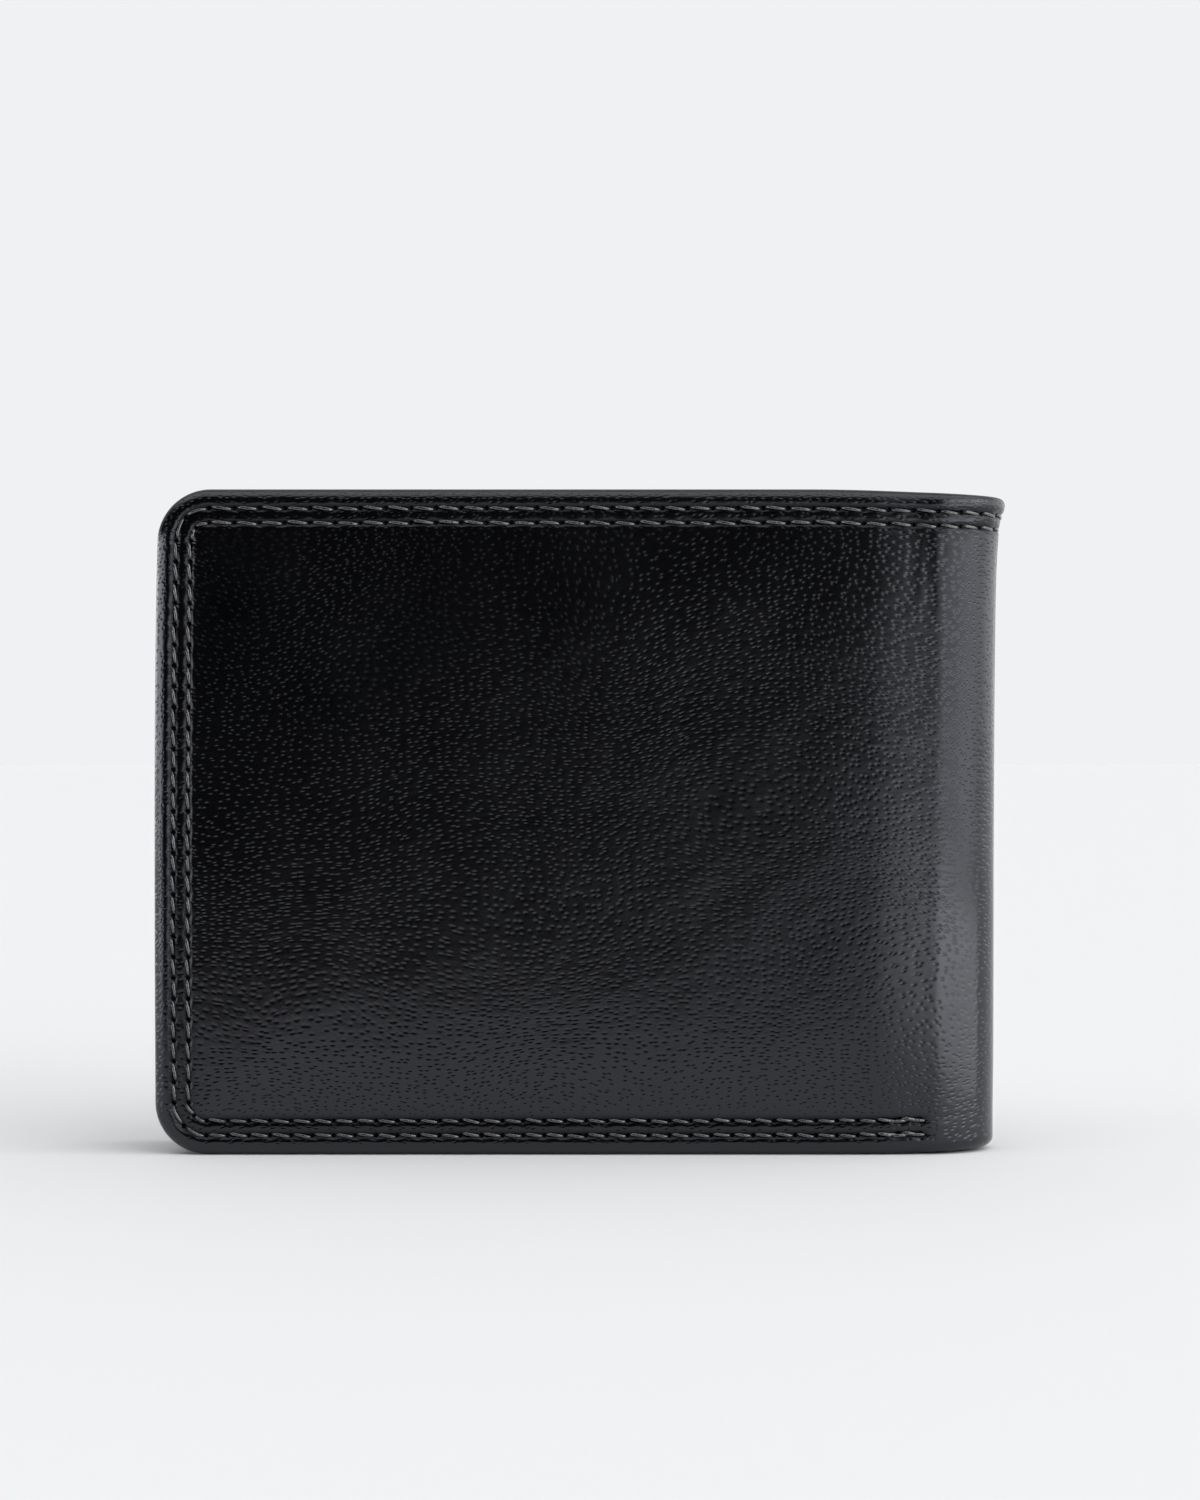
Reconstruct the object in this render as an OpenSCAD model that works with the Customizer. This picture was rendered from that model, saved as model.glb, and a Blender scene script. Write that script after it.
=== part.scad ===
// A bifold wallet, closed and standing on its long edge.
// X runs from the open edge to the fold, Y from the front cover to the back cover, Z up.
// The origin is the middle of the edge that it stands on.
// Each half is a stack of layers, which are counted by their distance from the middle plane.

/* [Wallet] */
// Width of the closed wallet, from the open edge to the outside of the fold
wallet_w = 114; // [106:1:125]
// Height of the wallet
wallet_h = 90; // [88:1:105]
// Thickness of the closed wallet
wallet_t = 18; // [17:0.5:24]
// Radius of the two cover corners at the open edge
corner_r = 7; // [4:0.5:12]

/* [Cover] */
// Thickness of the outer leather
leather_t = 1.2; // [0.8:0.1:1.5]
// Thickness of the padded board behind the leather
board_t = 0.8; // [0.4:0.1:1]
// Thickness of the lining cloth
lining_t = 0.3; // [0.2:0.1:0.4]
// Thickness of the leather where it is thinned and turned in
hem_t = 0.6; // [0.3:0.1:0.8]
// Width of the turned-in edge
hem_w = 9; // [7:0.5:14]

/* [Card panels] */
// Height of the card panels' top edge
panel_top = 86; // [84:0.5:87]
// Thickness of the leather that backs the card pockets
panel_t = 0.8; // [0.5:0.1:1]
// Thickness of a card pocket's leather strip
pocket_t = 0.9; // [0.6:0.1:1]
// Height of the highest pocket's edge
first_edge = 80; // [78:0.5:82]
// Drop from one pocket's edge to the next
pocket_step = 10; // [8:0.5:11]
// Depth of a card pocket
pocket_depth = 45; // [42:0.5:46]
// Width of the clear window for an identity card
window_w = 76; // [60:1:80]
// Height of the clear window
window_h = 40; // [30:1:42]

/* [Seams] */
// Distance of the outer row of stitches from the edge
outer_row = 2.5; // [2:0.1:3]
// Distance of the inner row of stitches from the edge
inner_row = 4.5; // [4:0.1:5.5]
// Width of a row of thread
thread_w = 0.5; // [0.3:0.1:0.7]
// Depth of the groove that the thread lies in
groove_d = 0.35; // [0.2:0.05:0.5]
// Distance from the outside of the fold at which the bottom rows end
bottom_row_stop = 11; // [10:0.5:20]

/* [Hidden] */
$fn = 96;

// The fold is half a tube round a line at fold_x, as thick as the wallet. It bends at four
// hinge lines, which cut it into three spine parts and a quarter of a turn's end on each cover.
half_t = wallet_t / 2;
spine_names = ["front", "middle", "back"];
hinge_count = 4;
hinge_turn = 180 / hinge_count;
// The angle left open at each hinge line
cut_angle = 1;
open_x = -wallet_w / 2;
fold_x = wallet_w / 2 - half_t;
rows = [outer_row, inner_row];

// Layers of one half, as distances from the middle plane
leather_in = half_t - leather_t;
board_in = leather_in - board_t;
lining_in = board_in - lining_t;
hem_in = lining_in - hem_t;
middle_gap = 0.4;
front_pockets = 4;
panel_in = middle_gap + front_pockets * pocket_t;
wall_in = panel_in + panel_t;
wall_out = wall_in + lining_t;
film_t = 0.3;
back_pockets = 2;

// The stiff layers stop short of the fold
board_end = fold_x - 2;
panel_end = fold_x - 1.5;
wall_end = fold_x + 0.5;

// The card panels lie a little inside the cover's edge
panel_inset = 0.8;
panel_x = open_x + panel_inset;
panel_r = corner_r - panel_inset;
tape_w = 5;
margin_w = 4;
strip_h = 13;
window_r = 4;
notch_r = 8;
band_t = 0.9;
proud = 0.15;
past = 1;

function edge_z(i) = first_edge - i * pocket_step;
function pocket_out(i) = panel_in - i * pocket_t;

// ---- outlines, drawn flat with X across and Y up the wallet ----

// What rounding takes off a corner, above it for up = 1 and below it for up = -1
module corner_cut(x, z, r, up) {
    difference() {
        translate([x - past, up > 0 ? z - past : z - r]) square([r + past, r + past]);
        translate([x + r, z + up * r]) circle(r);
    }
}

// A sheet with its two corners at the open edge rounded
module sheet(x0, x1, z0, z1, r_low, r_high) {
    difference() {
        translate([x0, z0]) square([x1 - x0, z1 - z0]);
        corner_cut(x0, z0, r_low, 1);
        corner_cut(x0, z1, r_high, -1);
    }
}

module cover_sheet(inset, end_x) {
    r = max(corner_r - inset, 1);
    sheet(open_x + inset, end_x, inset, wallet_h - inset, r, r);
}

module panel_sheet(inset = 0, end_x = panel_end) {
    r = max(panel_r - inset, 1);
    sheet(panel_x + inset, end_x, panel_inset + inset, panel_top - inset, r, r);
}

// The part of the card panel between two heights
module panel_band(z0, z1) {
    intersection() {
        panel_sheet();
        translate([panel_x - past, z0]) square([panel_end - panel_x + 2 * past, z1 - z0]);
    }
}

// One row round the top, the open edge and the bottom of a cover
module cover_row(inset) {
    difference() {
        cover_sheet(inset, fold_x);
        cover_sheet(inset + thread_w, fold_x + past);
        translate([wallet_w / 2 - bottom_row_stop, 0]) square([wallet_w, wallet_h / 2]);
    }
}

// The rows that show on a card panel: two by the open edge and the bottom, one by the fold
module panel_rows() {
    for (row = rows)
        difference() {
            panel_sheet(row - panel_inset);
            panel_sheet(row - panel_inset + thread_w, panel_end + past);
            translate([panel_x + inner_row + corner_r, wallet_h / 2]) square([wallet_w, wallet_h]);
            translate([open_x, panel_top - corner_r]) square([wallet_w, wallet_h]);
        }
    translate([panel_end - outer_row, inner_row + thread_w + 1])
        square([thread_w, panel_top - inner_row - 4]);
}

// ---- layers ----

// Gives an outline its place in the front half, between two distances from the middle
module layer(inner, outer) {
    rotate([90, 0, 0]) translate([0, 0, inner]) linear_extrude(outer - inner) children();
}

module back() {
    mirror([0, 1, 0]) children();
}

module cover_leather() {
    color("#1a1a1c") union() {
        difference() {
            layer(hem_in, half_t) cover_sheet(0, fold_x);
            layer(lining_in, leather_in) cover_sheet(leather_t, fold_x + past);
            layer(hem_in - past, lining_in + 0.01) cover_sheet(hem_w, fold_x + past);
            for (row = rows) layer(half_t - groove_d, half_t + past) cover_row(row);
        }
        bent_leather(0);
    }
}

module cover_board() {
    color("#8a7a63") layer(board_in, leather_in) cover_sheet(leather_t, board_end);
}

module cover_lining() {
    color("#26262b") union() {
        layer(lining_in, board_in) cover_sheet(leather_t, fold_x);
        bent_lining(0);
    }
}

module cover_stitching(row) {
    color("#0c0c0d") union() {
        layer(half_t - groove_d, half_t) cover_row(row);
        bent_row(0, row);
    }
}

// Closes the note compartment along the open edge and the bottom
module edge_tape() {
    color("#26262b") layer(wall_out, hem_in) difference() {
        panel_sheet();
        translate([panel_x + tape_w, panel_inset + tape_w]) square([wallet_w, wallet_h]);
    }
}

module note_wall() {
    color("#26262b") layer(wall_in, wall_out) panel_sheet(0, wall_end);
}

module card_panel() {
    color("#1a1a1c") layer(panel_in, wall_in) panel_sheet(0, wall_end);
}

// A leather strip along the pocket's edge, with a cloth tab that holds the card from behind
module card_pocket(i) {
    out = pocket_out(i);
    top = edge_z(i);
    tab_x = panel_x + margin_w + 0.5;
    color("#1f1f22") union() {
        layer(out - pocket_t, out) panel_band(top - strip_h, top);
        layer(out - lining_t, out) translate([tab_x, top - pocket_depth])
            square([panel_end - margin_w - 0.5 - tab_x, pocket_depth - strip_h + 1]);
    }
}

// The stitched margins that hold the lowest pocket to the panel at its sides and its bottom
module pocket_margin(inner, top) {
    layer(inner, panel_in) difference() {
        panel_band(0, top);
        translate([panel_x + margin_w, panel_inset + margin_w])
            square([panel_end - panel_x - 2 * margin_w, wallet_h]);
    }
}

module lowest_pocket(i) {
    out = pocket_out(i);
    color("#1f1f22") union() {
        layer(out - pocket_t, out) panel_band(0, edge_z(i));
        pocket_margin(out, edge_z(i - 1) - strip_h);
    }
}

module window_outline() {
    mid_x = (panel_x + panel_end) / 2;
    z0 = panel_inset + margin_w + 4.2;
    for (x = [-1, 1], z = [0, 1])
        translate([mid_x + x * (window_w / 2 - window_r), z0 + window_r + z * (window_h - 2 * window_r)])
            circle(window_r);
    translate([mid_x - window_w / 2, z0 + window_r]) square([window_w, window_h - 2 * window_r]);
    translate([mid_x - window_w / 2 + window_r, z0]) square([window_w - 2 * window_r, window_h]);
}

// The dip in the edge through which a thumb slides the card out
module thumb_notch() {
    translate([(panel_x + panel_end) / 2, edge_z(back_pockets) + notch_r / 2]) circle(notch_r);
}

module window_film() {
    out = pocket_out(back_pockets);
    film_x = panel_x + margin_w + 0.2;
    film_z = panel_inset + margin_w + 0.2;
    color("#c9d3d6") back() layer(out - film_t, out) difference() {
        translate([film_x, film_z])
            square([panel_end - margin_w - 0.2 - film_x, edge_z(back_pockets) - film_z - 0.5]);
        thumb_notch();
    }
}

module window_frame() {
    out = pocket_out(back_pockets) - film_t;
    color("#1f1f22") back() union() {
        layer(out - pocket_t, out) difference() {
            panel_band(0, edge_z(back_pockets));
            window_outline();
            thumb_notch();
        }
        pocket_margin(out, edge_z(back_pockets - 1) - strip_h);
    }
}

// Thread on the stepped face of a card panel; lowest is the face of the pocket nearest the middle
module panel_stitching(pockets, lowest) {
    color("#0c0c0d") for (i = [0 : pockets]) {
        face = i < pockets ? pocket_out(i) : lowest;
        top = i == 0 ? panel_top : edge_z(i - 1);
        low = i == pockets ? 0 : edge_z(i);
        layer(face - proud, face) intersection() {
            panel_rows();
            translate([open_x, low]) square([wallet_w, top - low]);
        }
    }
}

// ---- the fold ----

// Which angles round the fold a part covers, from the front cover (0) over the three spine
// parts (1 to 3) to the back cover (4)
function part_from(part) = part == 0 ? -90 : -90 + (part - 0.5) * hinge_turn;
function part_to(part) = part == hinge_count ? 90 : -90 + (part + 0.5) * hinge_turn;

// Keeps what lies in one part's share of the fold
module share(part) {
    from = part_from(part) + (part > 0 ? cut_angle / 2 : 0);
    to = part_to(part) - (part < hinge_count ? cut_angle / 2 : 0);
    intersection() {
        children();
        translate([fold_x, 0, 0]) linear_extrude(wallet_h)
            polygon([[0, 0], wallet_t * [cos(from), sin(from)], wallet_t * [cos(to), sin(to)]]);
    }
}

// A tube round the fold, between two radii and two heights
module tube(inner, outer, z0, z1) {
    translate([fold_x, 0, z0]) linear_extrude(z1 - z0) difference() {
        circle(outer);
        circle(inner);
    }
}

module bent_leather(part) {
    share(part) difference() {
        tube(hem_in, half_t, 0, wallet_h);
        tube(lining_in, leather_in, leather_t, wallet_h - leather_t);
        tube(hem_in - past, lining_in + 0.01, hem_w, wallet_h - hem_w);
        for (row = rows)
            tube(half_t - groove_d, half_t + past, wallet_h - row - thread_w, wallet_h - row);
    }
}

module bent_lining(part) {
    share(part) tube(lining_in, board_in, leather_t, wallet_h - leather_t);
}

module bent_row(part, row) {
    share(part) tube(half_t - groove_d, half_t, wallet_h - row - thread_w, wallet_h - row);
}

module spine_leather(part) {
    color("#1a1a1c") bent_leather(part);
}

module spine_lining(part) {
    color("#26262b") bent_lining(part);
}

// Joins the two card panels inside the fold
module spine_band(part) {
    color("#1a1a1c") share(part) tube(wall_out - band_t, wall_out, panel_inset, panel_top);
}

module spine_stitching(part, row) {
    color("#0c0c0d") bent_row(part, row);
}

cover_leather();  // front_cover_leather
cover_board();  // front_cover_board
cover_lining();  // front_cover_lining
cover_stitching(outer_row);  // front_cover_outer_stitching
cover_stitching(inner_row);  // front_cover_inner_stitching
edge_tape();  // front_edge_tape
note_wall();  // front_note_wall
card_panel();  // front_card_panel
for (i = [0 : front_pockets - 2])
    card_pocket(i);
lowest_pocket(front_pockets - 1);  // front_card_pocket_4
panel_stitching(front_pockets, middle_gap);  // front_panel_stitching
back() cover_leather();  // back_cover_leather
back() cover_board();  // back_cover_board
back() cover_lining();  // back_cover_lining
back() cover_stitching(outer_row);  // back_cover_outer_stitching
back() cover_stitching(inner_row);  // back_cover_inner_stitching
back() edge_tape();  // back_edge_tape
back() note_wall();  // back_note_wall
back() card_panel();  // back_card_panel
for (i = [0 : back_pockets - 1])
    back() card_pocket(i);
window_film();
window_frame();
back() panel_stitching(back_pockets, pocket_out(back_pockets) - film_t - pocket_t);  // back_panel_stitching
for (i = [0 : hinge_count - 2]) {
    spine = str("spine_", spine_names[i]);
    spine_leather(i + 1);
    spine_lining(i + 1);
    spine_band(i + 1);
    spine_stitching(i + 1, outer_row);
    spine_stitching(i + 1, inner_row);
}
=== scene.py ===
"""A bifold wallet in black leather, built round its frame: a turned and double-stitched
cover that bends round the fold, a lined note compartment, stepped card pockets and a card window."""

import math

import bpy
import numpy as np
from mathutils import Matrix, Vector


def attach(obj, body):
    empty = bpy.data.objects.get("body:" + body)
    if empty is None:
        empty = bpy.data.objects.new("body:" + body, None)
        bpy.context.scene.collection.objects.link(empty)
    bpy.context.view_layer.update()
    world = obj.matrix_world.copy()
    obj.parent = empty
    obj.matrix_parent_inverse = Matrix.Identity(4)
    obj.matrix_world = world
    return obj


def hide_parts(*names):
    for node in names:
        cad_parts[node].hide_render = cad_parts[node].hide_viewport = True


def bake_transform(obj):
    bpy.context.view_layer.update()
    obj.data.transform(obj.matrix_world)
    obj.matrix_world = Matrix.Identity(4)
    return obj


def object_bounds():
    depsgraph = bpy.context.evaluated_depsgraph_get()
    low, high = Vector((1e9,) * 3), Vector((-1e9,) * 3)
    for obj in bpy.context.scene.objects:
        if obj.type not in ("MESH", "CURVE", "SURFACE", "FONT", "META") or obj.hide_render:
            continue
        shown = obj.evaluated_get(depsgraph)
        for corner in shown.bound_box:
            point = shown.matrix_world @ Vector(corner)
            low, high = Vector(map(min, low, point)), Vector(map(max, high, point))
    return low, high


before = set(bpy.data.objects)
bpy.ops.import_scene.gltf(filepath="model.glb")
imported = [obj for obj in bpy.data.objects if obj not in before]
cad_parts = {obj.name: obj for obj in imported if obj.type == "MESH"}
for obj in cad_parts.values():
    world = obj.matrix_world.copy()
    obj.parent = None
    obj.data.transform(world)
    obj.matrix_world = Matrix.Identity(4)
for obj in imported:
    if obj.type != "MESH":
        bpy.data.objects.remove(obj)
CAD_BOX = [[float(c) for c in corner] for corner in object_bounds()]

bl_info = {
    "name": "Bifold Wallet",
    "version": (1, 0, 0),
    "blender": (4, 5, 0),
    "location": "View3D > Sidebar > Wallet",
    "description": "Builds a black leather bifold wallet on its frame, piece by piece",
    "category": "Object",
}

MM = 0.001

# The frame's main sizes, in millimetres
OPEN_X = CAD_BOX[0][0] / MM
ROUND = CAD_BOX[1][1] / MM
FOLD_X = CAD_BOX[1][0] / MM - ROUND
HEIGHT = CAD_BOX[1][2] / MM
FLAT = FOLD_X - OPEN_X
ARC = math.pi * ROUND
WIDE_OPEN = 2 * FLAT + ARC
MIDDLE = WIDE_OPEN / 2
EIGHTH = ARC / 4

# The cover's turned edge and its two rows of stitching, as distances from the edge
CORNER = 7.0
TURNED_REACH = 1.4
TURNED_MID = 7.55
TURNED_HALF = 1.45
HEM_WIDTH = 9.0
PLAIN_FROM = 9.9
SKIN_INSIDE = 7.82
ROWS = (2.65, 4.6)
ROW_NAMES = ("outer", "inner")

# Stitches, counted along a row from the middle of the spine: the top, a corner, the open edge,
# a corner and the bottom
TOP_STITCHES, CORNER_STITCHES, SIDE_STITCHES, BOTTOM_STITCHES = 33, 2, 27, 34
TOP_PITCH = (MIDDLE - CORNER) / TOP_STITCHES
SIDE_PITCH = (HEIGHT - 2 * CORNER) / SIDE_STITCHES
BOTTOM_END = FLAT - 2
BOTTOM_PITCH = (BOTTOM_END - CORNER) / BOTTOM_STITCHES
ALL_STITCHES = TOP_STITCHES + 2 * CORNER_STITCHES + SIDE_STITCHES + BOTTOM_STITCHES

# How far the fold's top drops and its foot rises, how far the fold's side flares along its
# height and at its very top, and how far the open edge stands out and comes back at its foot
FOLD_DROP, FOLD_RISE = 0.75, 0.4
FLARE, TOP_FLARE = 0.45, 1.6
EDGE_OUT, FOOT_IN = 0.65, 0.2

# Short creases beside the fold: (distance from the open edge, lean, lowest height, depth)
CREASES = ((102.2, 0.05, 74, 0.06), (104.1, -0.06, 71, 0.08), (106.2, 0.03, 76, 0.05))

# The lining's distance from the edge and its two faces, and the inner band's
LINING_INSET = 7.2
LINING_FACES = (7.0, 6.7)
BAND_FACES = (5.1, 4.3)
BAND_HEIGHTS = (0.8, 86)

# Each part of the skin ends in a hair-thin column at each seam
SEAM_COLUMN = 0.05

# Faces of the card panels, from the top down: (lowest height, distance from the middle plane)
FACES = {
    "front": ((80, 4.0), (70, 3.1), (60, 2.2), (50, 1.3), (-1, 0.4)),
    "back": ((80, 4.0), (70, 3.1), (60, 2.2), (-1, 1.0)),
}

# The two bodies that each part of the skin lies between, and where it starts and ends round
# the outside. A part's seams lie in the middle of a body.
PARTS = (
    ("front", ("spine_front", "front_half"), (-45, -90), (0.0, FLAT + EIGHTH)),
    ("spine_front", ("spine_middle", "spine_front"), (0, -45), (FLAT + EIGHTH, MIDDLE)),
    ("spine_back", ("spine_middle", "spine_back"), (0, 45), (MIDDLE, MIDDLE + EIGHTH)),
    ("back", ("spine_back", "back_half"), (45, 90), (MIDDLE + EIGHTH, WIDE_OPEN)),
)
STANDS_FOR = {
    "front": ("front_cover_",),
    "spine_front": ("spine_front_", "spine_middle_"),
    "spine_back": ("spine_middle_", "spine_back_"),
    "back": ("back_cover_",),
}


class WalletSizes(bpy.types.PropertyGroup):
    """Sizes of the leather's relief and the thread, in metres."""

    pebble: bpy.props.FloatProperty(
        name="Pebble", description="Distance between the pebbles of the grain",
        default=0.78 * MM, unit="LENGTH", precision=5)
    grain_depth: bpy.props.FloatProperty(
        name="Grain Depth", description="Depth of the valleys between the pebbles",
        default=0.031 * MM, unit="LENGTH", precision=6)
    thread: bpy.props.FloatProperty(
        name="Thread", description="Thickness of the sewing thread",
        default=0.42 * MM, unit="LENGTH", precision=5)
    groove: bpy.props.FloatProperty(
        name="Groove", description="How deep the thread pulls into the leather",
        default=0.26 * MM, unit="LENGTH", precision=5)
    swell: bpy.props.FloatProperty(
        name="Swell", description="How far a cover swells between its seams",
        default=0.45 * MM, unit="LENGTH", precision=5)
    draw_in: bpy.props.FloatProperty(
        name="Draw In", description="How far the covers draw in where the fold begins",
        default=0.8 * MM, unit="LENGTH", precision=5)


class WalletColours(bpy.types.PropertyGroup):
    """Colours of the finishes, as sRGB hex values."""

    leather: bpy.props.StringProperty(
        name="Leather", description="Colour of the cover and the card panels", default="#030304")
    lining: bpy.props.StringProperty(
        name="Lining", description="Colour of the lining cloth", default="#1d1d21")
    thread: bpy.props.StringProperty(
        name="Thread", description="Colour of the waxed thread", default="#040405")
    board: bpy.props.StringProperty(
        name="Board", description="Colour of the fibre board inside the covers", default="#8a7a63")
    film: bpy.props.StringProperty(
        name="Film", description="Tint of the clear window", default="#e9eef0")


# ---------------------------------------------------------------- shapes


def smooth(t):
    """Goes from 0 to 1 as t does, starting and ending gently."""
    t = np.clip(t, 0, 1)
    return t * t * (3 - 2 * t)


def bell(value, middle, width):
    return np.exp(-(((value - middle) / width) ** 2))


def inset_of(p, q):
    """Distance from the nearest of the open edge, the top and the bottom."""
    return np.minimum(p, np.minimum(q, HEIGHT - q))


def round_corners(p, q):
    """Bends the square corners of the plan round, and keeps every line parallel to the edge."""
    p2, q2 = p.copy(), q.copy()
    for top in (False, True):
        b = HEIGHT - q if top else q
        m = (p < CORNER) & (b < CORNER)
        pm, bm = p[m], b[m]
        radius = CORNER - np.minimum(pm, bm)
        turn = math.pi / 4 * (CORNER - np.maximum(pm, bm)) / np.maximum(radius, 1e-9)
        near, far = CORNER - radius * np.cos(turn), CORNER - radius * np.sin(turn)
        p2[m] = np.where(pm <= bm, near, far)
        across = np.where(pm <= bm, far, near)
        q2[m] = HEIGHT - across if top else across
    return p2, q2


def drawn_in(p, q, sizes):
    """How much nearer the middle the skin lies beside the fold, less where the top flares."""
    up = np.clip(q / HEIGHT, 0, 1)
    slim = smooth((p - 96) / 14.5) * (1 - 0.65 * smooth((p - 109) / 10))
    flare = smooth((p - 100) / (MIDDLE - 100)) * (FLARE * up**3 + TOP_FLARE * up**20)
    return sizes.draw_in / MM * slim - flare


def place(u, r, z, p, slack=0.0):
    """Points in metres from the way round the outside, the distance from the middle plane and
    the height, all in millimetres. p is the distance from the nearer open edge. A slack
    of 1 leaves out these small moves of the edges."""
    turn = np.clip((u - FLAT) / ROUND, 0, math.pi) - math.pi / 2
    x = FOLD_X + r * np.cos(turn)
    x = np.where(u <= FLAT, OPEN_X + u, x)
    x = np.where(u >= FLAT + ARC, OPEN_X + WIDE_OPEN - u, x)
    y = r * np.sin(turn)
    up = np.clip(z / HEIGHT, 0, 1)
    # the fold's ends are drawn in a little and the open edge leans in a little at its top
    tuck = FOLD_DROP * up**6 - FOLD_RISE * (1 - up) ** 8
    lean = EDGE_OUT * up**5 + FOOT_IN * (1 - up) ** 4 - EDGE_OUT
    z = z - smooth((p - 88) / 30) * tuck * (1 - slack)
    x = x + (1 - smooth(p / 45)) * lean * (1 - slack)
    return np.stack([x, y, z], -1) * MM


def skin_outside(p, q, sizes):
    """Distance of the cover's outside from the middle plane before it draws in."""
    inset = inset_of(p, q)
    by_bottom = (q <= np.minimum(p, HEIGHT - q)).astype(float)
    sewn = 1 - by_bottom * smooth((p - BOTTOM_END) / 1.2)
    k = np.clip(inset / TURNED_REACH, 0, 1)
    r = TURNED_MID + TURNED_HALF * np.sqrt(1 - (1 - k) ** 2)
    groove = sum(bell(inset, row, 0.26) for row in ROWS) * sizes.groove / MM
    pulled = 0.16 * bell(inset, sum(ROWS) / 2, 1.5)
    proud = 0.1 * bell(inset, 1.75, 0.45) + 0.05 * bell(inset, sum(ROWS) / 2, 0.5)
    swell = sizes.swell / MM * (1 - np.exp(-((np.maximum(inset - 4.6, 0) / 6) ** 1.3)))
    swell = swell * (1 - 0.75 * smooth((p - 90) / 18))
    # short creases run down from the seam beside the fold
    crease = sum(
        depth * bell(p, at + lean * (q - 80), 0.45) * smooth((HEIGHT - 5.2 - q) / 1.5) * smooth((q - low) / 5)
        for at, lean, low, depth in CREASES
    )
    return r - (groove + pulled) * sewn + proud * sewn + swell - crease


def skin_inside(p, q, sizes):
    inset = inset_of(p, q)
    k = np.clip(inset / TURNED_REACH, 0, 1)
    turned = TURNED_MID - TURNED_HALF * np.sqrt(1 - (1 - k) ** 2)
    return np.where(inset <= HEM_WIDTH + 0.001, turned, SKIN_INSIDE)


def steps(start, end, step):
    """Even steps of about one size from start up to, and without, end."""
    count = max(1, round((end - start) / step))
    return list(np.linspace(start, end, count + 1)[:-1])


def edge_lines():
    """Lines that follow the turned edge, the two rows and the hem."""
    rim = [TURNED_REACH * (1 - math.cos(math.pi / 2 * i / 8)) for i in range(8)]
    hem = steps(CORNER, HEM_WIDTH, 0.7) + [HEM_WIDTH, HEM_WIDTH + 0.06]
    return rim + steps(TURNED_REACH, CORNER, 0.24) + hem


def part_columns(name, start, end, cover, step):
    """Where the columns of one part lie, with a hair-thin one at each seam. cover holds those
    on a cover, and even steps go on from its last one."""
    if name == "back":
        return (WIDE_OPEN - part_columns("front", 0, WIDE_OPEN - start, cover, step))[::-1]
    own = cover if name == "front" else [start, start + SEAM_COLUMN]
    even = steps(own[-1], end - SEAM_COLUMN, step)
    return np.array(own[:-1] + even + [end - SEAM_COLUMN, end])


def skin_columns(name, start, end):
    cover = edge_lines() + steps(PLAIN_FROM, 90, 1.25) + steps(90, FLAT, 0.75) + [FLAT]
    return part_columns(name, start, end, cover, 0.5)


def skin_rows():
    low, high = edge_lines(), HEIGHT - PLAIN_FROM
    return np.array(low + steps(PLAIN_FROM, high, 1.25) + [high] + [HEIGHT - z for z in reversed(low)])


def deselect():
    if bpy.context.object and bpy.context.object.mode != "OBJECT":
        bpy.ops.object.mode_set(mode="OBJECT")
    bpy.ops.object.select_all(action="DESELECT")


def points_of(obj):
    co = np.zeros(len(obj.data.vertices) * 3)
    obj.data.vertices.foreach_get("co", co)
    return co.reshape(-1, 3)


def set_points(obj, co):
    obj.data.vertices.foreach_set("co", np.asarray(co, float).ravel())
    obj.data.update()


def finish_mesh(obj, name, angle=40, merge=True):
    """Merges doubles, turns the faces outwards and smooths all but the sharp edges."""
    obj.name = obj.data.name = name
    bpy.context.view_layer.objects.active = obj
    obj.select_set(True)
    bpy.ops.object.mode_set(mode="EDIT")
    bpy.ops.mesh.select_all(action="SELECT")
    if merge:
        bpy.ops.mesh.remove_doubles(threshold=1e-7)
    bpy.ops.mesh.normals_make_consistent(inside=False)
    bpy.ops.object.mode_set(mode="OBJECT")
    bpy.ops.object.shade_smooth_by_angle(angle=math.radians(angle))
    obj.select_set(False)
    return obj


def closed_grid(name, columns, rows, shape):
    """A closed sheet. A grid is extruded once, and shape puts its points where they belong:
    shape(column values, row values, whether a point is on the outer side) gives the points,
    their place on the sheet when it lies flat, and the seam map or None."""
    deselect()
    bpy.ops.mesh.primitive_grid_add(x_subdivisions=len(columns) - 1, y_subdivisions=len(rows) - 1, size=2)
    obj = bpy.context.object
    bpy.ops.object.mode_set(mode="EDIT")
    bpy.ops.mesh.select_all(action="SELECT")
    bpy.ops.mesh.extrude_region_move(TRANSFORM_OT_translate={"value": (0, 0, 1)})
    bpy.ops.object.mode_set(mode="OBJECT")
    co = points_of(obj)
    i = np.rint((co[:, 0] + 1) / 2 * (len(columns) - 1)).astype(int)
    j = np.rint((co[:, 1] + 1) / 2 * (len(rows) - 1)).astype(int)
    placed, flat, seam = shape(columns[i], rows[j], co[:, 2] > 0.5)
    set_points(obj, placed)
    mark_hide(obj, flat)
    if seam is not None:
        corner = np.zeros(len(obj.data.loops), int)
        obj.data.loops.foreach_get("vertex_index", corner)
        obj.data.uv_layers.active.data.foreach_set("uv", seam[corner, :2].ravel())
        obj.data.uv_layers.active.name = "seam"
        mark = obj.data.attributes.new("sewn", "FLOAT", "POINT")
        mark.data.foreach_set("value", seam[:, 2].astype(np.float32))
    return finish_mesh(obj, name)


def mark_hide(obj, flat=None):
    """Keeps each point's place on the hide, so that the grain moves with it: along, up, and
    which side. flat is that place where the hide was cut and bent; without it, the piece is
    as flat as it is made."""
    if flat is None:
        flat = points_of(obj)[:, (0, 2, 1)]
    mark = obj.data.attributes.new("hide", "FLOAT_VECTOR", "POINT")
    mark.data.foreach_set("vector", flat.astype(np.float32).ravel())


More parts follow.
